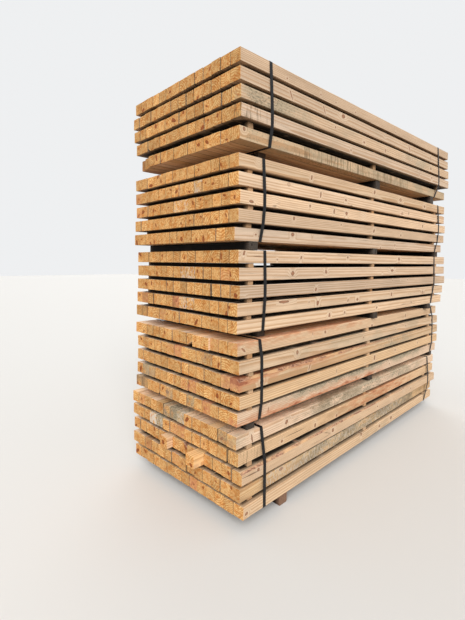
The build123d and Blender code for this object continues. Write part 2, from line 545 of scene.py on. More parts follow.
@dataclass
class TimberLayer:
    """A layer of sawn pieces that stands for one CAD node.

    `knots`, `patches` and `tones` are by piece, `bare` are the pieces that stand out of the pack
    and get no painted shade, and `covered` tells whether other courses lie above and below, where
    shade is painted into the gaps.
    """

    node: str
    name: str
    slot: str
    material: bpy.types.Material
    shape: TimberShape
    seed: int
    end_material: bpy.types.Material | None = None
    waney: TimberShape | None = None
    across_y: bool = False
    rules: TimberRules = TimberRules()
    knotting: KnotHabit = KnotHabit()
    wood: WoodHabit = WoodHabit()
    knots: dict[int, list[Knot]] = field(default_factory=dict)
    patches: dict[int, list[Patch]] = field(default_factory=dict)
    tones: dict[int, Tone] = field(default_factory=dict)
    tone: Tone = Tone()
    bare: tuple[int, ...] = ()
    covered: tuple[bool, bool] = (False, False)

    def __post_init__(self) -> None:
        """Reads the pieces' places from the node, from the front to the back."""
        self.random = np.random.default_rng(self.seed)
        order = (lambda solid: solid[:, 0].min()) if self.across_y else (lambda solid: solid[:, 1].mean())
        found = sorted(solids(self.node), key=order)
        self.places = [Place.of_solid(points, self.across_y) for points in found]
        self.growth = self.close_seams()
        self.notes: dict[str, list[np.ndarray]] = {}

    def close_seams(self) -> np.ndarray:
        """Lets most neighbours in a course lie tight, and leaves some seams open.

        Returns:
            How much wider each piece gets on its front and its back side.
        """
        growth = np.zeros((len(self.places), 2))
        if self.across_y:
            return growth
        for index, (here, there) in enumerate(zip(self.places, self.places[1:])):
            apart = (there.origin - here.origin) @ here.axes[1] - (here.width + there.width) / 2
            if apart < self.rules.widest_closed and self.random.random() < self.rules.closed_share:
                growth[index, 1] = growth[index + 1, 0] = apart * self.random.uniform(*self.rules.closing)
        return growth

    def build(self) -> bpy.types.Object:
        """Fits a copy of the shape to each place, joins them and dresses the layer.

        Returns:
            The layer, which replaces its CAD node.
        """
        copies, ends = [], []
        for index, (place, growth) in enumerate(zip(self.places, self.growth)):
            is_waney = place.cuts.max() > self.rules.waney_from
            shape = self.waney if self.waney and is_waney else self.shape
            known = self.knots.get(index, [])
            cuts, knots = self.knotting.spread(known, place, shape.stretches, self.random)
            local = self.fit(place, shape, cuts, growth)
            copy = shape.copy()
            copy.data.vertices.foreach_set("co", place.in_stack(local).ravel())
            self.note_wood(Piece(index, place, shape, is_waney, knots, local[shape.loop_vertex]))
            copies.append(copy)
            ends.append(shape.face_is_end)
        bpy.ops.object.select_all(action="DESELECT")
        for copy in copies:
            copy.select_set(True)
        bpy.context.view_layer.objects.active = copies[0]
        bpy.ops.object.join()
        layer = bpy.context.object
        layer.name = self.name
        layer.data.name = self.name
        self.dress(layer, np.concatenate(ends))
        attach(layer, BODY)
        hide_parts(self.node)
        return layer

    def fit(
        self, place: Place, shape: TimberShape, cuts: np.ndarray, growth: np.ndarray
    ) -> np.ndarray:
        """Shapes the modelled length to one place, with its uneven arrises, wane and ends.

        Args:
            place: the piece's place and section.
            shape: the shape to fit.
            cuts: where its cuts lie along it.
            growth: how much wider it gets on its front and its back side.

        Returns:
            The vertices in the piece's own coordinates.
        """
        rules, count = self.rules, shape.stretches + 1
        x = cuts[shape.station] + shape.points[:, 0] - shape.station * shape.length / shape.stretches
        sign = (shape.points[:, 1:] > 0).astype(int)
        side = sign * 2 - 1
        inset = np.array((shape.width, shape.height)) / 2 - np.abs(shape.points[:, 1:])
        swing = self.random.uniform(rules.arris_low, rules.arris_high, (count, 2, 2))
        swing *= self.shape.arris / shape.arris
        lean = np.ones((2, 2, 2))
        for y, z in np.argwhere(place.cuts > rules.waney_from):
            wander = self.random.uniform(-rules.wane_wander, rules.wane_wander, count)
            wander[0] = 0.0
            fade = np.clip(rules.wane_taper * (1.0 - cuts / place.length), rules.wane_least, 1.0)
            swing[:, y, z] = place.cuts[y, z] / shape.arris * (1.0 + wander) * fade
            lean[y, z, 0] += place.cuts[y, z] / rules.wane_lean
        scale = swing[shape.station, sign[:, 0], sign[:, 1]][:, None] * lean[sign[:, 0], sign[:, 1]]
        shrink = self.random.uniform(0.0, rules.narrow, (2, count, 2))
        half = np.array((place.width, place.height)) / 2
        across = side * (half - np.minimum(inset * scale, half * rules.wane_most))
        for axis in range(2):
            across[:, axis] -= side[:, axis] * shrink[axis, shape.station, sign[:, axis]]
        across[:, 0] += side[:, 0] * growth[sign[:, 0]]
        tilt = self.random.uniform(-rules.end_tilt, rules.end_tilt, (2, 2))
        for slope, end, way in zip(tilt, (0, shape.stretches), (1.0, -1.0)):
            at_end = shape.station == end
            x[at_end] += way * (np.abs(slope).sum() + (across[at_end] / half) @ slope) / 2
        return np.column_stack((x, across))

    def note_wood(self, piece: Piece) -> None:
        """Works out what each face corner of one piece tells its material.

        Args:
            piece: the fitted piece.
        """
        wood, corner = self.wood, piece.corner
        angle = self.random.uniform(0, 2 * math.pi)
        pith = np.array((math.cos(angle), math.sin(angle))) * self.random.uniform(*wood.pith_reach)
        slope = self.random.uniform(-wood.pith_slope, wood.pith_slope, 2)
        from_pith = corner.copy()
        from_pith[:, 0] += self.random.uniform(0, wood.log_length)
        from_pith[:, 1:] -= pith + corner[:, :1] * slope
        tone = self.tones.get(piece.index, self.tone)
        hue = tone.hue + self.random.normal(0.0, wood.tone_spread)
        # The brightness value is random tone less the painted shade of seams and gaps
        value = tone.value + self.random.normal(0.0, wood.value_spread) - self.shade(piece)
        seed = self.random.random()
        stains = self.stains(piece)
        for name, values in (
            ("from_pith", from_pith),
            ("knot", piece.knot_view()),
            ("stain", stains[:, :3]),
            ("grime", stains[:, 3:]),
            ("tone", np.column_stack(np.broadcast_arrays(hue, value, seed))),
        ):
            self.notes.setdefault(name, []).append(values)

    def shade(self, piece: Piece) -> np.ndarray:
        """Tells how much painted shade darkens each face corner inside the seams and gaps of the pack.

        Args:
            piece: the fitted piece.

        Returns:
            How much painted shade lowers its brightness, from nothing at the pack's outside.
        """
        wood, place, corner = self.wood, piece.place, piece.corner
        shade = np.zeros(len(corner))
        if piece.index in self.bare:
            return shade
        x, y, z = piece.shape.loop_normal.T
        depth = np.minimum(corner[:, 0], place.length - corner[:, 0])
        has_front, has_back = piece.index > 0, piece.index < len(self.places) - 1
        if not self.across_y and not has_front:
            depth = np.minimum(depth, corner[:, 1] + place.width / 2)
        if not self.across_y and not has_back:
            depth = np.minimum(depth, place.width / 2 - corner[:, 1])
        # Painted shade deepens from the pack's outside inwards, where less light reaches
        inward = wood.gap_shade * np.clip(depth / wood.shade_reach, 0.0, wood.shade_limit)
        if self.across_y:
            # Laths and bearers get painted shade on their long sides
            return np.where(np.abs(x) < FACING, inward, shade)
        above, below = self.covered
        # Painted shade on sides in seams, on bark that faces a neighbour, and on covered tops and bottoms
        shade[((y < -FACING) & has_front) | ((y > FACING) & has_back)] = wood.side_shade
        shade[piece.bark() & (((y < 0.0) & has_front) | ((y > 0.0) & has_back))] = wood.gap_shade
        return np.where(((z > LEVEL) & above) | ((z < -LEVEL) & below), inward, shade)

    def stains(self, piece: Piece) -> np.ndarray:
        """Works out how stained each face corner of a piece is.

        Args:
            piece: the fitted piece.

        Returns:
            One amount for each kind of stain.
        """
        x, level = piece.corner[:, 0], piece.corner[:, 2] / piece.place.height + 0.5
        amounts = np.zeros((len(x), len(Stain)))
        for patch in self.patches.get(piece.index, []):
            rise = np.clip((x - patch.start) / patch.blur, 0, 1)
            fall = np.clip((patch.stop - x) / patch.blur, 0, 1)
            reach = {None: 1.0, Face.TOP: level, Face.BOTTOM: 1.0 - level}[patch.edge]
            amounts[:, patch.stain.value] += patch.amount * rise * fall * reach
        amounts[piece.bark(), Stain.BARK.value] = 1.0
        return amounts

    def dress(self, layer: bpy.types.Object, is_end: np.ndarray) -> None:
        """Stores what the materials read, and gives faces and sawn ends their materials.

        Args:
            layer: the joined layer.
            is_end: which of its faces belong to sawn ends.
        """
        for name, values in self.notes.items():
            attribute = layer.data.attributes.new(name, "FLOAT_VECTOR", "CORNER")
            attribute.data.foreach_set("vector", np.concatenate(values).astype(np.float32).ravel())
        layer.data.materials.clear()
        for material in (self.material, self.end_material or self.material):
            layer.data.materials.append(material)
        layer.data.polygons.foreach_set("material_index", is_end.astype(np.int32))
        layer.data.update()


@dataclass(frozen=True)
class Pattern:
    """A noise pattern: how often it changes in a metre along each axis, its detail and roughness."""

    scale: Triple
    detail: float = 2.0
    rough: float = 0.5


class Signal:
    """An output in a shader tree, which is reckoned with like the number or vector it carries."""

    def __init__(self, sheet: "NodeSheet", socket: bpy.types.NodeSocket) -> None:
        """Keeps the output and the sheet that it is on."""
        self.sheet, self.socket = sheet, socket

    def __add__(self, other: object) -> "Signal":
        """Returns the sum."""
        return self.sheet.math("ADD", self, other)

    def __sub__(self, other: object) -> "Signal":
        """Returns the difference."""
        return self.sheet.math("SUBTRACT", self, other)

    def __mul__(self, other: object) -> "Signal":
        """Returns the product."""
        return self.sheet.math("MULTIPLY", self, other)

    def __truediv__(self, other: object) -> "Signal":
        """Returns the quotient."""
        return self.sheet.math("DIVIDE", self, other)

    def __pow__(self, other: object) -> "Signal":
        """Returns the power."""
        return self.sheet.math("POWER", self, other)

    def between(self, start: float, full: float) -> "Signal":
        """Returns how far it lies from start to full, smoothed and held between 0 and 1."""
        inputs = {"Value": self, "From Min": start, "From Max": full}
        return self.sheet.signal("ShaderNodeMapRange", "Result", inputs, interpolation_type="SMOOTHSTEP")

    def parts(self) -> list["Signal"]:
        """Returns the three parts of a vector."""
        node = self.sheet.add("ShaderNodeSeparateXYZ", {0: self})
        return [Signal(self.sheet, part) for part in node.outputs]

    def scaled(self, scale: Triple) -> "Signal":
        """Returns a vector multiplied axis by axis."""
        return self.sheet.signal("ShaderNodeVectorMath", 0, {0: self, 1: scale}, operation="MULTIPLY")

    def noise(self, pattern: Pattern) -> "Signal":
        """Returns a Noise Texture's value at a vector."""
        inputs = {"Vector": self.scaled(pattern.scale), "Scale": 1.0, "Detail": pattern.detail}
        return self.sheet.signal("ShaderNodeTexNoise", "Fac", {**inputs, "Roughness": pattern.rough})


class NodeSheet:
    """Adds nodes to a shader tree and links them as it goes."""

    def __init__(self, tree: bpy.types.NodeTree) -> None:
        """Keeps the tree that nodes are added to."""
        self.tree = tree

    def add(self, kind: str, inputs: dict | None = None, **settings: object) -> bpy.types.Node:
        """Adds a node.

        Args:
            kind: the node's Blender type.
            inputs: values or outputs for its inputs, by name or number.
            settings: the node's own properties.

        Returns:
            The node.
        """
        node = self.tree.nodes.new(kind)
        for name, value in settings.items():
            setattr(node, name, value)
        for name, value in (inputs or {}).items():
            self.connect(value, node.inputs[name])
        return node

    def connect(self, value: object, socket: bpy.types.NodeSocket) -> None:
        """Links an output to an input, or writes a plain value into it.

        Args:
            value: the output or the value.
            socket: the input.
        """
        source = value.socket if isinstance(value, Signal) else value
        if isinstance(source, bpy.types.NodeSocket):
            self.tree.links.new(source, socket)
        else:
            socket.default_value = source

    def signal(self, kind: str, output: str | int, inputs: dict | None = None, **settings: object) -> Signal:
        """Adds a node and returns one of its outputs."""
        return Signal(self, self.add(kind, inputs, **settings).outputs[output])

    def math(self, operation: str, *values: object) -> Signal:
        """Returns the result of a Math node."""
        return self.signal("ShaderNodeMath", 0, dict(enumerate(values)), operation=operation)

    def combined(self, *parts: object) -> Signal:
        """Returns a vector of up to three parts."""
        return self.signal("ShaderNodeCombineXYZ", 0, dict(enumerate(parts)))

    def length(self, *parts: object) -> Signal:
        """Returns the length of a vector of up to three parts."""
        inputs = {0: self.combined(*parts)}
        return self.signal("ShaderNodeVectorMath", "Value", inputs, operation="LENGTH")

    def mix(self, share: object, first: object, second: object, blend: str = "MIX") -> Signal:
        """Mixes two colours.

        Args:
            share: how much of the second there is.
            first: the colour to start from.
            second: the colour that is laid over it.
            blend: how it is laid over.

        Returns:
            The mixed colour.
        """
        node = self.add("ShaderNodeMix", data_type="RGBA", blend_type=blend)
        for name, value in (("Factor", share), ("A", first), ("B", second)):
            self.connect(value, node.inputs[name])
        return Signal(self, node.outputs["Result"])

    def attribute(self, name: str) -> Signal:
        """Returns the vector of a mesh attribute."""
        return self.signal("ShaderNodeAttribute", "Vector", attribute_name=name)

    def bump(self, height: Signal, strength: float, distance: float) -> Signal:
        """Returns the normal of a surface with a height, in metres, pressed into it."""
        inputs = {"Height": height, "Strength": strength, "Distance": distance}
        return self.signal("ShaderNodeBump", "Normal", inputs)


@dataclass
class Socket:
    """One input or output of a shader group."""

    name: str
    kind: str = "NodeSocketFloat"
    value: object = None


VECTOR = "NodeSocketVector"
COLOUR = "NodeSocketColor"


class ShaderGroup:
    """A shader node group that materials share."""

    name = "group"
    inputs: tuple[Socket, ...] = ()
    outputs: tuple[Socket, ...] = ()

    def __init__(self) -> None:
        """Makes the group's sockets and lets the subclass fill it."""
        self.tree = bpy.data.node_groups.new(self.name, "ShaderNodeTree")
        for sockets, way in ((self.inputs, "INPUT"), (self.outputs, "OUTPUT")):
            for socket in sockets:
                made = self.tree.interface.new_socket(socket.name, in_out=way, socket_type=socket.kind)
                if socket.value is not None:
                    made.default_value = socket.value
        sheet = NodeSheet(self.tree)
        start = sheet.add("NodeGroupInput").outputs
        given = {socket.name: Signal(sheet, start[socket.name]) for socket in self.inputs}
        sheet.add("NodeGroupOutput", self.fill(sheet, given))

    def fill(self, sheet: NodeSheet, given: dict[str, Signal]) -> dict[str, Signal]:
        """Adds the group's nodes.

        Args:
            sheet: the group's own sheet.
            given: its inputs by name.

        Returns:
            Its outputs by name.
        """
        raise NotImplementedError

    def use(self, sheet: NodeSheet, values: dict[str, object]) -> dict[str, Signal]:
        """Places the group in another tree.

        Args:
            sheet: the tree to place it in.
            values: values or outputs for its inputs.

        Returns:
            Its outputs by name.
        """
        node = sheet.add("ShaderNodeGroup", values, node_tree=self.tree)
        return {socket.name: Signal(sheet, node.outputs[socket.name]) for socket in self.outputs}


class TreeRings(ShaderGroup):
    """Growth rings about the pith that bend round a knot, with fibres, grain lines and checks.

    Each pair is where a pattern begins and where it is full. A knot's are in knot radii.
    """

    name = "tree_rings"
    inputs = (
        Socket("From Pith", VECTOR),
        Socket("Knot", VECTOR),
        Socket("Ring Width", value=0.009),
        Socket("Wander", value=0.014),
        Socket("Swirl", value=0.02),
    )
    outputs = tuple(
        Socket(name) for name in ("Late Wood", "Fibre", "Grain", "Check", "Knot", "Halo", "Knot Ring")
    )
    wander_noise = Pattern((1.1, 9.0, 9.0), 3.0)
    year_noise = Pattern((0.0, 24.0, 24.0), 0.0)
    fibre_noise = Pattern((9.0, 420.0, 420.0), 3.0, 0.6)
    grain_noise = Pattern((1.4, 105.0, 105.0), 2.0, 0.6)
    ragged_noise = Pattern((60.0, 60.0, 60.0))
    spoke_noise = Pattern((0.35, 5.0, 1.0), 1.0)
    crack_noise = Pattern((1.6, 14.0, 14.0))
    summer_growth: Pair = (0.2, 0.88)
    year_end: Pair = (1.0, 0.93)
    ring_contrast: float = 1.5
    swirl_falloff: float = 1.6
    grain_lines: Pair = (0.5, 0.72)
    ragged: float = 0.8
    knot_depth: Pair = (7.0, 3.5)
    knot_heart: Pair = (1.08, 0.82)
    knot_halo: Pair = (4.0, 0.9)
    knot_edge: Pair = (0.5, 0.85)
    crack_width: Pair = (0.006, 0.001)
    cracked: Pair = (0.55, 0.63)

    def fill(self, sheet: NodeSheet, given: dict[str, Signal]) -> dict[str, Signal]:
        """Adds the ring, fibre, check and knot patterns.

        Args:
            sheet: the group's own sheet.
            given: its inputs by name.

        Returns:
            Its outputs by name.
        """
        pith = given["From Pith"]
        core, halo, knot_ring = self.knot(sheet, pith, given["Knot"])
        along, y, z = pith.parts()
        wander = (pith.noise(self.wander_noise) - 0.5) * given["Wander"]
        bent = sheet.length(y, z) + wander + halo**self.swirl_falloff * given["Swirl"]
        phase = sheet.math("FRACT", bent / given["Ring Width"] + pith.noise(self.year_noise))
        summer = phase.between(*self.summer_growth) ** self.ring_contrast
        return {
            "Late Wood": summer * phase.between(*self.year_end),
            "Fibre": pith.noise(self.fibre_noise),
            "Grain": pith.noise(self.grain_noise).between(*self.grain_lines),
            "Check": self.check(sheet, pith, along, sheet.math("ARCTAN2", z, y)),
            "Knot": core,
            "Halo": halo,
            "Knot Ring": knot_ring,
        }

    def knot(self, sheet: NodeSheet, pith: Signal, view: Signal) -> tuple[Signal, ...]:
        """Draws a knot in radii from its middle.

        Args:
            sheet: the group's sheet.
            pith: the place from the pith.
            view: the place from the knot's middle, across its face and into the wood.

        Returns:
            The knot's heart, the wood that bends round it and the dark ring at its edge.
        """
        first, second, deep = view.parts()
        distance = (pith.noise(self.ragged_noise) - 0.5) * self.ragged + sheet.length(first, second)
        near = deep.between(*self.knot_depth)
        core = distance.between(*self.knot_heart) * near
        halo = distance.between(*self.knot_halo) * near
        return core, halo, distance.between(*self.knot_edge) * core

    def check(self, sheet: NodeSheet, pith: Signal, along: Signal, angle: Signal) -> Signal:
        """Draws thin drying cracks that run out from the pith, in a few places.

        Args:
            sheet: the group's sheet.
            pith: the place from the pith.
            along: how far along the log it is.
            angle: which way from the pith it is.

        Returns:
            Where the cracks are.
        """
        spoke = sheet.combined(along, angle).noise(self.spoke_noise)
        line = sheet.math("ABSOLUTE", spoke - 0.5).between(*self.crack_width)
        return line * pith.noise(self.crack_noise).between(*self.cracked)


class WeatherStain(ShaderGroup):
    """Grey bloom, resin red, brown dirt, run marks, white scuffs and bark on a surface."""

    name = "weather_stain"
    inputs = (
        Socket("Color", COLOUR),
        Socket("Position", VECTOR),
        Socket("Stain", VECTOR),
        Socket("Grime", VECTOR),
    )
    outputs = (Socket("Color", COLOUR),)
    cloud_noise = Pattern((5.0, 14.0, 14.0), 4.0, 0.6)
    speck_noise = Pattern((60.0, 130.0, 130.0), 3.0, 0.7)
    fleck_noise = Pattern((9.0, 42.0, 50.0), 4.0, 0.65)
    run_noise = Pattern((75.0, 75.0, 9.0), 3.0, 0.6)
    scuff_noise = Pattern((90.0, 60.0, 34.0), 2.0, 0.6)
    spread: float = 0.24
    deepest: float = 0.85
    bark_deepest: float = 0.9
    bark_peel: Pair = (0.35, 0.65)
    bark_wear: Pair = (0.42, 0.6)
    bark_dark: Colour = srgb(92, 50, 44)
    bark_light: Colour = srgb(206, 158, 128)
    bark_worn: Colour = srgb(222, 178, 132)

    def fill(self, sheet: NodeSheet, given: dict[str, Signal]) -> dict[str, Signal]:
        """Lays each stain over the colour in patches that grow with its amount.

        Args:
            sheet: the group's own sheet.
            given: its inputs by name.

        Returns:
            Its outputs by name.
        """
        place, colour = given["Position"], given["Color"]
        grey, red, brown = given["Stain"].parts()
        streaks, white, bark = given["Grime"].parts()
        cloud, speck = place.noise(self.cloud_noise), place.noise(self.speck_noise)
        fleck, runs = place.noise(self.fleck_noise), place.noise(self.run_noise)
        scuff = place.noise(self.scuff_noise)
        for amount, pattern, start, full, tint in (
            (grey, cloud, 0.62, 0.36, srgb(176, 163, 136)),
            (red, fleck, 0.6, 0.4, srgb(216, 146, 104)),
            (red, fleck, 0.38, 0.28, srgb(166, 94, 68)),
            (brown, cloud, 0.66, 0.34, srgb(134, 92, 56)),
            (grey, speck, 0.47, 0.28, srgb(98, 92, 76)),
            (streaks, runs, 0.5, 0.36, srgb(104, 84, 60)),
            (white, scuff, 0.52, 0.42, srgb(226, 216, 200)),
        ):
            level = (amount - 0.5) * -self.spread + pattern
            mask = sheet.math("MINIMUM", level.between(start, full) * amount, self.deepest)
            colour = sheet.mix(mask, colour, tint)
        peel = sheet.mix(speck.between(*self.bark_peel), self.bark_dark, self.bark_light)
        peel = sheet.mix(cloud.between(*self.bark_wear), peel, self.bark_worn)
        return {"Color": sheet.mix(sheet.math("MINIMUM", bark, self.bark_deepest), colour, peel)}


class SawMarks(ShaderGroup):
    """The uneven ridges that a saw leaves across a cut face, stronger in some places."""

    name = "saw_marks"
    inputs = (
        Socket("Position", VECTOR),
        Socket("Direction", VECTOR),
        Socket("Spacing", value=0.004),
        Socket("Seed"),
    )
    outputs = (Socket("Ridge"),)
    wobble_noise = Pattern((30.0, 30.0, 30.0))
    strong_noise = Pattern((3.0, 9.0, 9.0))
    ridge_noise = Pattern((1.0, 1.0, 1.0), 1.0)
    wobble: float = 0.006
    widest_turn: float = 3.0
    ridge: Pair = (0.35, 0.65)
    strong: Pair = (0.3, 0.7)

    def fill(self, sheet: NodeSheet, given: dict[str, Signal]) -> dict[str, Signal]:
        """Adds the ridges, which lean another way on each sawn end.

        Args:
            sheet: the group's own sheet.
            given: its inputs by name.

        Returns:
            Its outputs by name.
        """
        place = given["Position"]
        inputs = {"Vector": place, "Angle": given["Seed"] * self.widest_turn}
        turned = sheet.signal("ShaderNodeVectorRotate", 0, inputs, rotation_type="X_AXIS")
        inputs = {0: turned, 1: given["Direction"]}
        run = sheet.signal("ShaderNodeVectorMath", "Value", inputs, operation="DOT_PRODUCT")
        line = place.noise(self.wobble_noise) * self.wobble + run
        ridge = sheet.combined(line / given["Spacing"]).noise(self.ridge_noise).between(*self.ridge)
        return {"Ridge": ridge * place.noise(self.strong_noise).between(*self.strong)}


def new_material(name: str) -> tuple[bpy.types.Material, NodeSheet, bpy.types.Node]:
    """Makes a material.

    Args:
        name: its name.

    Returns:
        The material, the sheet of its nodes and its Principled shader.
    """
    material = bpy.data.materials.new(name)
    material.use_nodes = True
    return material, NodeSheet(material.node_tree), material.node_tree.nodes["Principled BSDF"]


@dataclass(frozen=True)
class WoodFinish:
    """The colours and surface of one kind of wood face."""

    name: str
    early: Colour
    late: Colour
    knot: Colour
    halo: Colour
    rich_tint: Colour
    pale_tint: Colour = srgb(255, 255, 255)
    warmth: Colour = srgb(240, 208, 168)
    halo_share: float = 0.28
    ring_width: float = 0.006
    ring_depth: float = 0.8
    ring_gloss: float = 0.12
    grain: float = 0.35
    speckle: float = 0.22
    mottle: float = 0.0
    roughness: float = 0.82
    bump: float = 0.5
    bump_height: float = 0.0012
    marks: float = 0.1
    mark_spacing: float = 0.004
    mark_direction: Triple = (1.0, 0.0, 0.0)
    specular: float = 0.25
    value_step: float = 0.16
    # Lowest brightness, which the painted shade of seams and gaps reaches
    darkest: float = 0.04
    hue_reach: float = 1.2
    least_ring: float = 0.6
    ring_spread: float = 0.9
    late_relief: float = 0.35
    fibre_relief: float = 0.6
    mark_relief: float = 0.5
    knot_relief: float = 0.4
    cloud_noise: Pattern = Pattern((2.5, 16.0, 16.0))
    cloud_share: float = 0.35
    mottle_noise: Pattern = Pattern((20.0, 55.0, 95.0), 3.0, 0.65)
    mottle_spots: Pair = (0.54, 0.38)
    warm_noise: Pattern = Pattern((6.0, 24.0, 28.0), 3.0, 0.6)
    warm_spots: Pair = (0.46, 0.64)
    fibre_lines: Pair = (0.62, 0.36)
    fibre_dark: float = 0.55
    knot_share: float = 0.85
    knot_edge_share: float = 0.5
    knot_edge_dark: float = 0.3
    check_share: float = 0.8


class WoodMaterials:
    """Builds the wood materials from the shared groups."""

    def __init__(self) -> None:
        """Builds the shared groups once."""
        self.rings = TreeRings()
        self.stain = WeatherStain()
        self.saw = SawMarks()

    def build(self, finish: WoodFinish) -> bpy.types.Material:
        """Makes one wood material.

        Args:
            finish: its colours and surface.

        Returns:
            The material.
        """
        material, sheet, shader = new_material(finish.name)
        pith = sheet.attribute("from_pith")
        # The tone's value carries random brightness and the painted shade of seams and gaps
        hue, value, seed = sheet.attribute("tone").parts()
        width = (seed * finish.ring_spread + finish.least_ring) * finish.ring_width
        inputs = {"From Pith": pith, "Knot": sheet.attribute("knot"), "Ring Width": width}
        rings = self.rings.use(sheet, inputs)
        inputs = {"Position": pith, "Spacing": finish.mark_spacing, "Seed": seed}
        marks = self.saw.use(sheet, {**inputs, "Direction": finish.mark_direction})["Ridge"]
        inputs = {
            "Color": self.colour(sheet, finish, rings, marks, pith, hue, value),
            "Position": sheet.signal("ShaderNodeTexCoord", "Object"),
            "Stain": sheet.attribute("stain"),
            "Grime": sheet.attribute("grime"),
        }
        height = rings["Late Wood"] * finish.late_relief + rings["Fibre"] * finish.fibre_relief
        height = height + marks * finish.mark_relief + rings["Knot"] * finish.knot_relief
        normal = sheet.bump(height - rings["Check"], finish.bump, finish.bump_height)
        for name, result in (
            ("Base Color", self.stain.use(sheet, inputs)["Color"]),
            ("Roughness", rings["Late Wood"] * -finish.ring_gloss + finish.roughness),
            ("Normal", normal),
            ("Specular IOR Level", finish.specular),
        ):
            sheet.connect(result, shader.inputs[name])
        return material

    def colour(
        self,
        sheet: NodeSheet,
        finish: WoodFinish,
        rings: dict[str, Signal],
        marks: Signal,
        pith: Signal,
        hue: Signal,
        value: Signal,
    ) -> Signal:
        """Lays rings, grain, knots, the piece's own tone and its painted shade into one colour.

        Args:
            sheet: the material's tree.
            finish: the finish's colours.
            rings: the outputs of the tree rings.
            marks: the saw marks.
            pith: the place from the pith.
            hue: the piece's hue.
            value: its brightness, less the shade painted into seams and gaps.

        Returns:
            The colour of the wood before its stains, with its painted shade.
        """
        late, dark_knot = finish.late, darker(finish.knot, finish.knot_edge_dark)
        colour = sheet.mix(rings["Late Wood"] * finish.ring_depth, finish.early, late)
        tint = sheet.mix(hue.between(-finish.hue_reach, finish.hue_reach), finish.pale_tint, finish.rich_tint)
        cloud = (pith.noise(finish.cloud_noise) - 0.5) * finish.cloud_share
        # Brightness from random tone, painted shade, cloud and saw marks, held above the darkest
        bright = value * finish.value_step + 1.0 + cloud - marks * finish.marks
        bright = sheet.math("MAXIMUM", bright, finish.darkest)
        fibre = rings["Fibre"].between(*finish.fibre_lines) * finish.speckle
        mottle = pith.noise(finish.mottle_noise).between(*finish.mottle_spots) * finish.mottle
        warm = pith.noise(finish.warm_noise).between(*finish.warm_spots) * finish.mottle
        for share, over, blend in (
            (1.0, tint, "MULTIPLY"),
            (rings["Grain"] * finish.grain, late, "MIX"),
            (fibre, darker(late, finish.fibre_dark), "MIX"),
            (mottle, late, "MIX"),
            (warm, finish.warmth, "MULTIPLY"),
            (1.0, sheet.combined(bright, bright, bright), "MULTIPLY"),
            (rings["Halo"] * finish.halo_share, finish.halo, "MIX"),
            (rings["Knot"] * finish.knot_share, finish.knot, "MIX"),
            (rings["Knot Ring"] * finish.knot_edge_share, dark_knot, "MIX"),
            (rings["Check"] * finish.check_share, dark_knot, "MIX"),
        ):
            colour = sheet.mix(share, colour, over, blend)
        return colour


@dataclass(frozen=True)
class StrapFinish:
    """Black plastic band with a pressed diamond pattern and some yard dust."""

    name: str = "black_band"
    colour: Colour = srgb(17, 17, 19)
    dust: Colour = srgb(66, 60, 54)
    dust_noise: Pattern = Pattern((30.0, 9.0, 9.0), 4.0, 0.7)
    dust_spots: Pair = (0.5, 0.85)
    dust_share: float = 0.45
    roughness: float = 0.3
    dust_roughness: float = 0.4
    specular: float = 0.3
    diamond_pace: float = 2100.0
    diamond_bump: float = 0.35
    diamond_depth: float = 0.0003

    def build(self) -> bpy.types.Material:
        """Makes the strap's material.

        Returns:
            The material.
        """
        material, sheet, shader = new_material(self.name)
        place = sheet.signal("ShaderNodeTexCoord", "Object")
        dust = place.noise(self.dust_noise)
        spots = dust.between(*self.dust_spots)
        x, y, z = place.scaled((self.diamond_pace,) * 3).parts()
        climb = y + z
        diamonds = sheet.math("SINE", x + climb) * sheet.math("SINE", x - climb)
        for name, result in (
            ("Base Color", sheet.mix(spots * self.dust_share, self.colour, self.dust)),
            ("Roughness", dust * self.dust_roughness + self.roughness),
            ("Specular IOR Level", self.specular),
            ("Normal", sheet.bump(diamonds, self.diamond_bump, self.diamond_depth)),
        ):
            sheet.connect(result, shader.inputs[name])
        return material


@dataclass(frozen=True)
class SoftSun:
    """A large soft light that shines one way."""

    name: str
    strength: float
    ray: Triple
    softness: float = 50.0

    def add(self) -> None:
        """Adds the light to the scene."""
        lamp = bpy.data.lights.new(self.name, "SUN")
        lamp.energy = self.strength
        lamp.angle = math.radians(self.softness)
        sun = bpy.data.objects.new(self.name, lamp)
        bpy.context.scene.collection.objects.link(sun)
        sun.rotation_euler = Vector(self.ray).to_track_quat("-Z", "Y").to_euler()


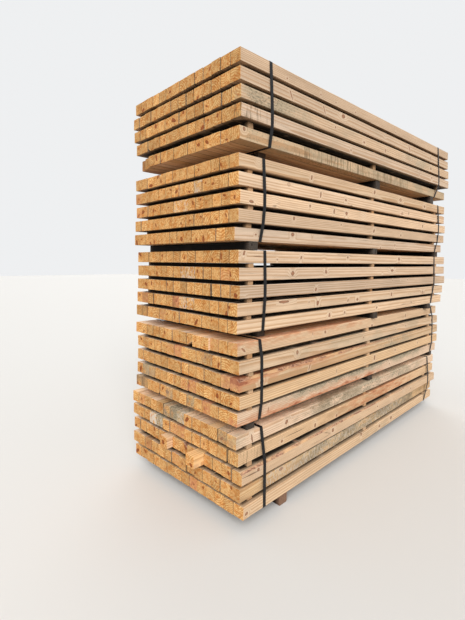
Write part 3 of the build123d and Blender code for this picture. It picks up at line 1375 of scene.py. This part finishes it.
@dataclass
class Studio:
    """Pale floor, soft light and the camera at the photograph's viewing angle."""

    eye: Triple = (-2.995, -2.130, 1.534)
    yaw: float = 46.82
    pitch: float = -2.06
    roll: float = 0.46
    focal_pixels: float = 396.0
    image_width: float = 465.0
    image_height: float = 620.0
    centre_x: float = 232.2
    centre_y: float = 275.9
    sensor: float = 36.0
    floor_size: float = 80.0
    floor_seen: Colour = srgb(226, 224, 220)
    floor_felt: Colour = srgb(96, 90, 84)
    floor_roughness: float = 0.9
    backdrop: Colour = (0.86, 0.87, 0.88, 1.0)
    backdrop_strength: float = 1.0
    sky: Colour = (1.0, 1.0, 1.0, 1.0)
    sky_strength: float = 0.6
    suns: tuple[SoftSun, ...] = (
        SoftSun("front_sun", strength=2.9, ray=(0.72, 0.7, -0.56)),
        SoftSun("back_sun", strength=1.3, ray=(-0.6, -0.75, -0.2)),
    )

    def build(self) -> None:
        """Sets up the floor, the light, the world and the camera."""
        self.add_floor()
        self.add_world()
        for sun in self.suns:
            sun.add()
        self.add_camera()
        bpy.context.scene.view_settings.view_transform = "Standard"

    def seen_or_felt(self, sheet: NodeSheet, felt: bpy.types.Node, seen: bpy.types.Node) -> Signal:
        """Returns one shader for what looks at it or mirrors it, and the other for the light on it.

        Args:
            sheet: the material's or the world's tree.
            felt: the shader for soft light that bounces.
            seen: the shader for the camera, reflections and glass.

        Returns:
            The chosen shader.
        """
        path = sheet.add("ShaderNodeLightPath").outputs
        looks = sheet.math("MAXIMUM", path["Is Camera Ray"], path["Is Glossy Ray"])
        looks = sheet.math("MAXIMUM", looks, path["Is Transmission Ray"])
        return sheet.signal("ShaderNodeMixShader", 0, {0: looks, 1: felt.outputs[0], 2: seen.outputs[0]})

    def add_floor(self) -> None:
        """Lays a floor under the stack that looks pale and throws little light up at it."""
        bpy.ops.object.select_all(action="DESELECT")
        bpy.ops.mesh.primitive_plane_add(size=self.floor_size, location=(0.0, 0.0, 0.0))
        floor = bpy.context.object
        floor.name = "studio_floor"
        material, sheet, seen = new_material("pale_floor")
        sheet.connect(self.floor_seen, seen.inputs["Base Color"])
        sheet.connect(self.floor_roughness, seen.inputs["Roughness"])
        felt = sheet.add("ShaderNodeBsdfDiffuse", {"Color": self.floor_felt})
        output = material.node_tree.nodes["Material Output"]
        sheet.connect(self.seen_or_felt(sheet, felt, seen), output.inputs["Surface"])
        floor.data.materials.append(material)

    def add_world(self) -> None:
        """Adds an even sky behind a pale backdrop."""
        world = bpy.data.worlds.new("studio")
        world.use_nodes = True
        bpy.context.scene.world = world
        sheet = NodeSheet(world.node_tree)
        sky = world.node_tree.nodes["Background"]
        sheet.connect(self.sky, sky.inputs["Color"])
        sheet.connect(self.sky_strength, sky.inputs["Strength"])
        inputs = {"Color": self.backdrop, "Strength": self.backdrop_strength}
        shown = sheet.add("ShaderNodeBackground", inputs)
        output = world.node_tree.nodes["World Output"]
        sheet.connect(self.seen_or_felt(sheet, sky, shown), output.inputs["Surface"])

    def add_camera(self) -> None:
        """Places the camera as the photograph was taken."""
        yaw, pitch, roll = (math.radians(angle) for angle in (self.yaw, self.pitch, self.roll))
        level = Vector((math.cos(yaw), math.sin(yaw), 0.0))
        ahead = level * math.cos(pitch) + Vector((0.0, 0.0, math.sin(pitch)))
        right = Vector((math.sin(yaw), -math.cos(yaw), 0.0))
        up = right.cross(ahead)
        turned_right = right * math.cos(roll) + up * math.sin(roll)
        turned_up = up * math.cos(roll) - right * math.sin(roll)
        turn = Matrix((turned_right, turned_up, -ahead)).transposed()
        lens = bpy.data.cameras.new("camera")
        lens.sensor_width = self.sensor
        lens.lens = self.focal_pixels * self.sensor / self.image_height
        lens.shift_x = (self.image_width / 2 - self.centre_x) / self.image_height
        lens.shift_y = (self.centre_y - self.image_height / 2) / self.image_height
        camera = bpy.data.objects.new("camera", lens)
        camera.matrix_world = Matrix.Translation(self.eye) @ turn.to_4x4()
        bpy.context.scene.collection.objects.link(camera)
        bpy.context.scene.camera = camera


SAWN_FACE = WoodFinish(
    name="sawn_long_face",
    early=srgb(244, 222, 195),
    late=srgb(210, 171, 133),
    knot=srgb(166, 112, 82),
    pale_tint=srgb(254, 246, 242),
    rich_tint=srgb(248, 224, 176),
    halo=srgb(244, 219, 190),
    ring_width=0.011,
    grain=0.45,
)
SAWN_END = WoodFinish(
    name="sawn_end_grain",
    early=srgb(250, 212, 150),
    late=srgb(196, 124, 60),
    knot=srgb(146, 72, 38),
    pale_tint=srgb(255, 250, 240),
    rich_tint=srgb(255, 248, 238),
    halo=srgb(206, 128, 66),
    ring_width=0.011,
    grain=0.15,
    speckle=0.3,
    mottle=0.7,
    roughness=0.9,
    marks=0.22,
    mark_spacing=0.005,
    mark_direction=(0.0, 1.0, 0.3),
)
LATH = WoodFinish(
    name="sawn_lath",
    early=srgb(222, 190, 154),
    late=srgb(176, 134, 96),
    knot=srgb(110, 70, 50),
    rich_tint=srgb(228, 204, 176),
    halo=srgb(200, 164, 128),
    ring_depth=0.6,
)
BEARER = WoodFinish(
    name="grey_bearer",
    early=srgb(98, 91, 84),
    late=srgb(60, 53, 47),
    knot=srgb(46, 38, 34),
    rich_tint=srgb(222, 200, 182),
    halo=srgb(88, 78, 70),
    speckle=0.5,
    bump=1.0,
)
GROUND_BEARER = WoodFinish(
    name="damp_bearer",
    early=srgb(186, 156, 134),
    late=srgb(98, 72, 58),
    knot=srgb(54, 36, 30),
    rich_tint=srgb(238, 216, 198),
    halo=srgb(110, 80, 62),
    speckle=0.5,
    bump=1.0,
)

GREY, RED, BROWN, STREAKS, WHITE, BARK = Stain


def near_end(u: float, v: float, radius: float, stretch: float = 1.0, lean: float = UP) -> Knot:
    """Returns a knot on a post's near end."""
    return Knot(u, v, radius, stretch, lean, Face.NEAR_END)


def scuff(amount: float) -> Patch:
    """Returns white scuffs on a post's near end."""
    return Patch(WHITE, amount, stop=0.1, blur=0.05)


# Knots that the stack shows, by pack, course and post: u, v, radius, stretch, lean
KNOTS: dict[PostKey, list[Knot]] = {
    (1, 1, 0): [Knot(0.39, -0.012, 0.006), Knot(0.736, -0.01, 0.006), Knot(0.913, -0.014, 0.006),
                Knot(1.171, -0.014, 0.007), Knot(1.813, -0.019, 0.007)],
    (1, 2, 0): [Knot(0.43, 0.0, 0.005, 6.0, -30.0), Knot(0.777, 0.0, 0.0045, 7.0, -28.0),
                Knot(2.08, 0.0, 0.007, 5.0, -28.0)],
    (1, 3, 0): [Knot(0.9, 0.012, 0.008), Knot(1.62, -0.01, 0.006, 3.0, 20.0)],
    (1, 4, 0): [Knot(1.1, -0.008, 0.007), Knot(2.56, 0.008, 0.01)],
    (1, 4, 3): [near_end(0.006, 0.012, 0.008)],
    (1, 4, 9): [near_end(-0.012, 0.0, 0.006, 2.0, 20.0)],
    (1, 5, 0): [Knot(0.036, 0.022, 0.011), Knot(0.94, 0.018, 0.007), Knot(1.72, -0.01, 0.008)],
    (1, 5, 1): [near_end(-0.01, -0.02, 0.007, 1.6, ALONG)],
    (2, 1, 0): [Knot(0.66, 0.0, 0.008, 2.0, 18.0), Knot(1.5, 0.008, 0.011, 1.5, 30.0)],
    (2, 1, 1): [near_end(0.03, -0.004, 0.006, 2.0, 20.0)],
    (2, 1, 4): [near_end(0.0, 0.0, 0.005, 2.2, 25.0)],
    (2, 2, 0): [Knot(0.765, 0.0, 0.008, 2.6, 12.0), Knot(2.14, 0.0, 0.006, 3.0, 16.0)],
    (2, 2, 3): [near_end(0.006, 0.012, 0.007)],
    (2, 2, 5): [near_end(0.006, -0.022, 0.007, 1.6, ALONG)],
    (2, 2, 13): [near_end(0.0, 0.0, 0.009)],
    (2, 3, 0): [near_end(0.004, 0.0, 0.008, 1.3), Knot(0.09, -0.02, 0.009, 2.0, ALONG),
                Knot(0.632, 0.01, 0.009), Knot(0.911, 0.0, 0.009, 2.0, 8.0),
                Knot(2.425, 0.0, 0.01, 1.6, 20.0)],
    (2, 3, 2): [near_end(0.015, 0.0, 0.004)],
    (2, 3, 5): [near_end(-0.014, 0.006, 0.008, 2.0, 24.0)],
    (2, 4, 0): [Knot(0.48, 0.02, 0.009, 1.5), Knot(1.5, 0.0, 0.01, 1.6, 40.0), Knot(1.984, -0.01, 0.01)],
    (2, 4, 12): [near_end(0.0, -0.015, 0.005)],
    (2, 5, 0): [Knot(1.93, 0.0, 0.006, 2.0, 12.0)],
    (2, 5, 4): [near_end(-0.012, -0.02, 0.008)],
    (2, 5, 7): [near_end(0.02, -0.024, 0.006)],
    (2, 5, 10): [near_end(0.0, -0.02, 0.008, 1.8)],
    (3, 1, 0): [Knot(0.045, 0.02, 0.008, 1.8, 24.0), Knot(0.325, -0.014, 0.005),
                Knot(0.56, 0.0, 0.008, 1.6, 24.0), Knot(1.117, 0.01, 0.009)],
    (3, 1, 1): [near_end(0.03, 0.004, 0.007, 2.8, 6.0)],
    (3, 1, 2): [near_end(0.03, -0.018, 0.007, 1.8, 14.0)],
    (3, 1, 6): [near_end(-0.008, -0.006, 0.008, 1.4)],
    (3, 1, 9): [near_end(0.018, 0.01, 0.009)],
    (3, 2, 0): [near_end(0.035, 0.002, 0.008, 2.4, 30.0), Knot(0.47, 0.0, 0.016),
                Knot(0.835, 0.006, 0.012), Knot(1.82, 0.006, 0.012, 2.0, ALONG)],
    (3, 2, 4): [near_end(0.014, 0.01, 0.007, 1.8)],
    (3, 3, 0): [Knot(0.71, -0.012, 0.009, 1.6, 30.0), Knot(1.82, 0.02, 0.006), Knot(2.115, 0.02, 0.007)],
    (3, 3, 8): [near_end(0.028, 0.012, 0.006, 2.2, 30.0)],
    (3, 3, 11): [near_end(-0.006, 0.01, 0.009, 2.0, 20.0)],
    (3, 3, 12): [near_end(-0.004, 0.0, 0.011, 1.6, 60.0)],
    (3, 4, 0): [near_end(0.03, 0.012, 0.006, 1.6, 50.0), Knot(0.4, 0.024, 0.009, 6.0, ALONG),
                Knot(0.659, 0.006, 0.005), Knot(0.757, -0.006, 0.013, 1.4, 24.0),
                Knot(1.141, -0.012, 0.006, 1.8, 24.0), Knot(1.84, 0.0, 0.011, 1.8, 16.0)],
    (3, 4, 7): [near_end(0.006, 0.004, 0.012, 1.3, 30.0)],
    (3, 5, 0): [Knot(0.91, -0.004, 0.011, 1.5, 20.0), Knot(1.11, 0.0, 0.008),
                Knot(1.6, 0.0, 0.008, 1.4, 60.0), Knot(2.266, 0.004, 0.008, 1.6, -24.0)],
    (3, 5, 7): [near_end(0.012, 0.0, 0.004, 6.0, 14.0)],
    (4, 1, 0): [Knot(0.05, -0.004, 0.006, 3.6, -50.0), Knot(0.877, 0.002, 0.011, lean=ALONG),
                Knot(2.228, 0.0, 0.009, 2.0, 14.0)],
    (4, 1, 9): [near_end(-0.03, 0.006, 0.009, 1.3)],
    (4, 2, 0): [Knot(0.532, 0.012, 0.012, 1.3), Knot(1.4, 0.0, 0.006), Knot(2.2, 0.01, 0.008)],
    (4, 3, 0): [Knot(0.665, 0.0, 0.0055, 5.5, 24.0), Knot(1.9, 0.0, 0.008)],
    (4, 4, 0): [Knot(0.19, 0.03, 0.006), Knot(1.588, 0.006, 0.011, 1.8, 16.0), Knot(2.48, 0.01, 0.008)],
    (4, 4, 2): [near_end(-0.01, 0.004, 0.011, 1.4)],
    (4, 4, 5): [near_end(0.03, 0.008, 0.01, 1.5, 60.0)],
    (4, 5, 0): [Knot(0.266, -0.004, 0.005, 3.4, 8.0), Knot(1.32, -0.014, 0.011)],
    (4, 5, 3): [near_end(0.016, -0.006, 0.01, 1.2)],
    (5, 1, 0): [Knot(0.457, 0.0, 0.013, 1.3, 50.0), Knot(0.749, 0.014, 0.008), Knot(1.7, 0.0, 0.008)],
    (5, 1, 12): [near_end(0.0, 0.0, 0.009, 1.4, 40.0)],
    (5, 2, 0): [Knot(0.396, -0.01, 0.01), Knot(0.765, -0.012, 0.011, 1.4), Knot(1.045, -0.02, 0.01)],
    (5, 2, 3): [near_end(0.006, 0.0, 0.006, 1.8)],
    (5, 2, 8): [near_end(0.0, 0.004, 0.008)],
    (5, 3, 0): [Knot(0.142, 0.012, 0.01, lean=ALONG), Knot(0.953, 0.004, 0.014), Knot(1.66, 0.0, 0.008),
                Knot(2.37, 0.0, 0.009)],
    (5, 3, 1): [near_end(-0.02, 0.0, 0.009, 1.8, 20.0)],
    (5, 3, 4): [near_end(-0.014, -0.02, 0.01, 1.5, 60.0), Knot(0.3, 0.0, 0.006, face=Face.TOP)],
    (5, 3, 8): [near_end(0.004, -0.002, 0.015)],
    (5, 4, 0): [Knot(0.376, 0.024, 0.011, 1.8, ALONG), Knot(1.2, 0.0, 0.009), Knot(2.3, 0.0, 0.008)],
    (5, 4, 6): [near_end(0.0, 0.0, 0.006, 1.6)],
    (5, 5, 0): [Knot(0.027, -0.006, 0.008, 1.8, 70.0), Knot(1.4, 0.028, 0.012),
                Knot(1.738, -0.002, 0.014)],
    (5, 5, 4): [near_end(-0.014, 0.012, 0.008)],
    (5, 5, 5): [near_end(0.0, 0.0, 0.01, 1.4, 60.0)],
}

# Stained stretches, by pack, course and post: stain, amount, start, stop, blur, edge
PATCHES: dict[PostKey, list[Patch]] = {
    (1, 2, 0): [Patch(GREY, 0.25, 0.9, 1.8)],
    (1, 3, 0): [Patch(GREY, 0.34, 0.0, 0.6, 0.03), Patch(GREY, 0.38, -1.0, 1.6, 0.5),
                Patch(GREY, 0.5, 1.92, 2.6), Patch(WHITE, 0.3, 1.9, 2.6)],
    (1, 4, 0): [Patch(STREAKS, 0.6, -1.0, 0.35), Patch(GREY, 0.25, 0.4, 2.2)],
    (1, 5, 0): [Patch(GREY, 0.52, 0.0, blur=0.06), Patch(STREAKS, 0.58, 0.25, 2.3, 0.3)],
    (1, 5, 11): [Patch(BROWN, 0.4)],
    (1, 5, 12): [Patch(BROWN, 0.55)],
    (1, 5, 13): [Patch(BROWN, 0.7), Patch(RED, 0.5)],
    (2, 2, 4): [scuff(0.45), Patch(GREY, 0.3)],
    (2, 2, 13): [Patch(RED, 0.5)],
    (2, 3, 6): [scuff(0.4)],
    (2, 3, 7): [scuff(0.4)],
    (2, 3, 13): [Patch(RED, 0.4)],
    (3, 2, 1): [Patch(RED, 0.5)],
    (3, 2, 5): [scuff(0.5), Patch(GREY, 0.3)],
    (3, 2, 6): [scuff(0.45), Patch(GREY, 0.3)],
    (3, 4, 5): [scuff(0.45)],
    (3, 4, 6): [scuff(0.5), Patch(GREY, 0.3)],
    (3, 4, 7): [Patch(RED, 0.9), Patch(BROWN, 0.6)],
    (3, 4, 12): [Patch(RED, 0.7), Patch(BROWN, 0.4)],
    (3, 5, 9): [Patch(RED, 0.5), Patch(BROWN, 0.3)],
    (3, 5, 12): [Patch(BROWN, 0.7)],
    (4, 1, 0): [Patch(RED, 0.7, -1.0, 1.6, 0.3, Face.TOP)],
    (4, 1, 2): [Patch(RED, 0.4)],
    (4, 2, 0): [Patch(GREY, 0.35, 0.1, 2.9, 0.4)],
    (4, 2, 3): [Patch(GREY, 0.45)],
    (4, 2, 4): [Patch(GREY, 0.35)],
    (4, 2, 7): [Patch(RED, 0.8)],
    (4, 2, 8): [Patch(RED, 0.45)],
    (4, 2, 12): [Patch(BROWN, 0.4), Patch(RED, 0.3)],
    (4, 3, 0): [Patch(RED, 0.8, -1.0, 1.4, 0.4, Face.TOP), Patch(GREY, 0.7, 1.5, 2.5, 0.3),
                Patch(RED, 0.5, stop=0.3, edge=Face.TOP), Patch(RED, 0.45, stop=0.04, blur=0.03),
                Patch(BARK, 0.2, stop=0.05, blur=0.04)],
    (4, 3, 1): [Patch(RED, 0.6), Patch(BARK, 0.3, stop=0.15)],
    (4, 4, 5): [Patch(RED, 0.7)],
    (4, 4, 6): [Patch(RED, 0.5)],
    (4, 4, 11): [Patch(GREY, 0.5)],
    (4, 4, 12): [Patch(GREY, 0.7)],
    (4, 5, 0): [Patch(GREY, 0.9, 0.2, 2.9, 0.3, Face.TOP), Patch(RED, 0.95, -1.0, 2.0, 0.4, Face.BOTTOM)],
    (4, 5, 3): [Patch(RED, 0.7)],
    (4, 5, 5): [Patch(GREY, 0.72)],
    (4, 5, 8): [Patch(GREY, 0.6)],
    (4, 5, 12): [Patch(GREY, 0.6), Patch(BROWN, 0.6)],
    (4, 5, 13): [Patch(GREY, 0.6), Patch(BROWN, 0.5)],
    (5, 1, 0): [Patch(GREY, 0.72, 0.3, 2.9, 0.5), Patch(GREY, 0.5, stop=0.25),
                Patch(BROWN, 0.55, 0.15, 1.5, 0.2, Face.TOP)],
    (5, 1, 1): [Patch(GREY, 0.7)],
    (5, 1, 6): [Patch(GREY, 0.7), scuff(0.5)],
    (5, 1, 7): [Patch(GREY, 0.9)],
    (5, 1, 8): [Patch(GREY, 0.7)],
    (5, 1, 12): [Patch(RED, 0.5)],
    (5, 2, 0): [Patch(STREAKS, 0.5, stop=0.35), Patch(RED, 0.72, 0.9, 2.6, 0.4),
                Patch(BROWN, 0.35, 0.4, 2.2, 0.3)],
    (5, 2, 6): [Patch(RED, 0.6)],
    (5, 2, 7): [Patch(RED, 0.5)],
    (5, 2, 9): [Patch(GREY, 0.8), scuff(0.5)],
    (5, 2, 10): [scuff(0.8)],
    (5, 3, 9): [Patch(BROWN, 0.4)],
    (5, 4, 0): [Patch(GREY, 0.75, 0.3, 3.0, 0.4), Patch(WHITE, 0.45, 0.1, 2.4), Patch(BROWN, 0.35)],
    (5, 4, 7): [Patch(RED, 0.4)],
    (5, 4, 11): [Patch(RED, 0.5), Patch(BROWN, 0.4)],
    (5, 5, 0): [Patch(GREY, 0.4, 1.1, 2.2, 0.3)],
    (5, 5, 5): [Patch(RED, 0.7)],
}

# Pieces whose colour differs plainly from the rest of their pack
TONES: dict[PostKey, Tone] = {
    (1, 5, 0): Tone(-0.6, -0.4),
    (1, 5, 12): Tone(0.3, -0.9),
    (1, 5, 13): Tone(0.5, -1.6),
    (3, 3, 4): Tone(-1.0, 0.8),
    (3, 3, 5): Tone(-0.8, 0.5),
    (3, 4, 0): Tone(-1.1, 0.3),
    (3, 5, 0): Tone(0.2, 0.3),
    (4, 1, 3): Tone(-0.9, 1.0),
    (4, 1, 4): Tone(-0.6, 0.6),
    (4, 3, 5): Tone(-0.6, 0.5),
    (4, 3, 8): Tone(-0.8, 0.2),
    (4, 4, 0): Tone(-0.3, 0.6),
    (5, 1, 4): Tone(-0.6, 0.7),
    (5, 3, 4): Tone(0.4, 1.2),
    (5, 3, 6): Tone(-0.2, 0.9),
    (5, 3, 8): Tone(0.0, 0.6),
    (5, 4, 0): Tone(-0.6, 0.3),
    (5, 5, 0): Tone(0.1, 0.4),
}
PACK_TONES = {
    1: Tone(-0.7, -0.1),
    2: Tone(-0.5, 0.25),
    3: Tone(-0.5, 0.35),
    4: Tone(-0.45, 0.5),
    5: Tone(-0.2, 0.5),
}


@dataclass
class PostPacks:
    """The 350 sawn posts, one layer for each course."""

    length: float = 3.0
    width: float = 0.077
    height: float = 0.075
    arris: float = 0.003
    wane: float = 0.012
    wane_steps: int = 4
    wane_profile: float = 0.25
    proud: tuple[PostKey, ...] = ((4, 1, 3), (4, 1, 4), (5, 3, 4), (5, 3, 8))

    def build(self, woods: WoodMaterials) -> Iterator[bpy.types.Object]:
        """Models the square and the waney post, and fits them course by course.

        Args:
            woods: the builder of the wood materials.

        Yields:
            Each course's layer.
        """
        side, end = woods.build(SAWN_FACE), woods.build(SAWN_END)
        size = {"length": self.length, "width": self.width, "height": self.height}
        square = TimberShape("post_shape", **size, arris=self.arris)
        waney = TimberShape(
            "waney_post_shape",
            **size,
            arris=self.wane,
            arris_steps=self.wane_steps,
            arris_profile=self.wane_profile,
        )
        square.model()
        waney.model()
        for pack in PACKS:
            for course in COURSES:
                yield TimberLayer(
                    node=f"pack_{pack}_course_{course}",
                    name=f"posts_{pack}_{course}",
                    slot="sawn_post",
                    material=side,
                    end_material=end,
                    shape=square,
                    waney=waney,
                    knots=self.of_course(KNOTS, pack, course),
                    patches=self.of_course(PATCHES, pack, course),
                    tones=self.of_course(TONES, pack, course),
                    tone=PACK_TONES[pack],
                    bare=tuple(self.of_course(dict.fromkeys(self.proud), pack, course)),
                    covered=(course > COURSES[0], course < COURSES[-1]),
                    seed=pack * 10 + course,
                ).build()
        square.discard()
        waney.discard()

    def of_course(self, table: dict[PostKey, Any], pack: int, course: int) -> dict[int, Any]:
        """Returns one course's entries of a table, by post."""
        return {post: entry for (p, c, post), entry in table.items() if (p, c) == (pack, course)}


@dataclass
class Laths:
    """The thin laths between the courses, one layer for each pack."""

    length: float = 1.1
    width: float = 0.038
    height: float = 0.025
    arris: float = 0.001
    stretches: int = 4
    knot_share: float = 0.12

    def build(self, woods: WoodMaterials) -> Iterator[bpy.types.Object]:
        """Models one lath and fits it to each place.

        Args:
            woods: the builder of the wood materials.

        Yields:
            Each pack's laths.
        """
        wood = woods.build(LATH)
        shape = TimberShape("lath_shape", self.length, self.width, self.height, self.arris, self.stretches)
        shape.model()
        for pack in PACKS:
            yield TimberLayer(
                node=f"pack_{pack}_stickers",
                name=f"laths_{pack}",
                slot="sticker",
                material=wood,
                shape=shape,
                across_y=True,
                knotting=KnotHabit(share=self.knot_share, end_share=0.0),
                seed=pack,
            ).build()
        shape.discard()


@dataclass
class Bearers:
    """The thick sawn pieces that carry each pack, one layer for each level."""

    length: float = 1.1
    width: float = 0.07
    height: float = 0.075
    arris: float = 0.005
    arris_steps: int = 2
    stretches: int = 8
    narrow: float = 0.002
    first_seed: int = 70

    def build(self, woods: WoodMaterials) -> Iterator[bpy.types.Object]:
        """Models one bearer and fits it to each place.

        Args:
            woods: the builder of the wood materials.

        Yields:
            Each level's bearers.
        """
        shape = TimberShape(
            "bearer_shape", self.length, self.width, self.height, self.arris, self.stretches, self.arris_steps
        )
        shape.model()
        grey, damp = woods.build(BEARER), woods.build(GROUND_BEARER)
        levels = [(f"bearers_below_pack_{pack}", "bearer", grey) for pack in PACKS[:-1]]
        levels.append(("ground_bearers", "ground_bearer", damp))
        for level, (node, slot, material) in enumerate(levels):
            yield TimberLayer(
                node=node,
                name=f"{node}_timber",
                slot=slot,
                material=material,
                shape=shape,
                across_y=True,
                rules=TimberRules(narrow=self.narrow, waney_from=math.inf),
                seed=self.first_seed + level,
            ).build()
        shape.discard()


@dataclass
class Straps:
    """The two straps round each pack."""

    edge_break: float = 0.0003
    edge_steps: int = 2
    edge_angle: float = 15.0
    smooth_angle: float = 35.0
    merge: float = 0.00005
    flat_angle: float = 0.5

    def build(self) -> Iterator[bpy.types.Object]:
        """Finishes a copy of each strap's band.

        Yields:
            Each strap.
        """
        black = StrapFinish().build()
        for pack in PACKS:
            for where in ("near", "far"):
                yield self.finish_band(pack, where, black)

    def finish_band(self, pack: int, where: str, black: bpy.types.Material) -> bpy.types.Object:
        """Breaks a band's edges and dresses it.

        Args:
            pack: the pack that it holds.
            where: near or far.
            black: its material.

        Returns:
            The strap, which replaces its CAD node.
        """
        node = f"pack_{pack}_{where}_strap"
        source = bpy.data.objects[node]
        band = source.copy()
        band.data = source.data.copy()
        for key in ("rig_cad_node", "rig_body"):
            del band[key]
        band.parent = None
        band.name = f"strap_band_{pack}_{where}"
        band.data.name = band.name
        bpy.context.scene.collection.objects.link(band)
        bpy.ops.object.select_all(action="DESELECT")
        band.select_set(True)
        bpy.context.view_layer.objects.active = band
        bpy.ops.object.mode_set(mode="EDIT")
        bpy.ops.mesh.select_all(action="SELECT")
        bpy.ops.mesh.remove_doubles(threshold=self.merge)
        bpy.ops.mesh.dissolve_limited(angle_limit=math.radians(self.flat_angle))
        bpy.ops.object.mode_set(mode="OBJECT")
        rounding = band.modifiers.new("turns", "BEVEL")
        rounding.width = self.edge_break
        rounding.segments = self.edge_steps
        rounding.limit_method = "ANGLE"
        rounding.angle_limit = math.radians(self.edge_angle)
        rounding.use_clamp_overlap = True
        bpy.ops.object.modifier_apply(modifier=rounding.name)
        bpy.ops.object.shade_smooth_by_angle(angle=math.radians(self.smooth_angle))
        band.data.materials.clear()
        band.data.materials.append(black)
        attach(band, BODY)
        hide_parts(node)
        return band


def main() -> None:
    """Builds the stack and the studio."""
    logging.basicConfig(level=logging.INFO, format="%(name)s: %(message)s")
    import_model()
    woods = WoodMaterials()
    assemblies = (PostPacks().build(woods), Laths().build(woods), Bearers().build(woods), Straps().build())
    for assembly in assemblies:
        for piece in assembly:
            LOG.info("%s: %d faces", piece.name, len(piece.data.polygons))
    Studio().build()


if __name__ == "__main__":
    main()
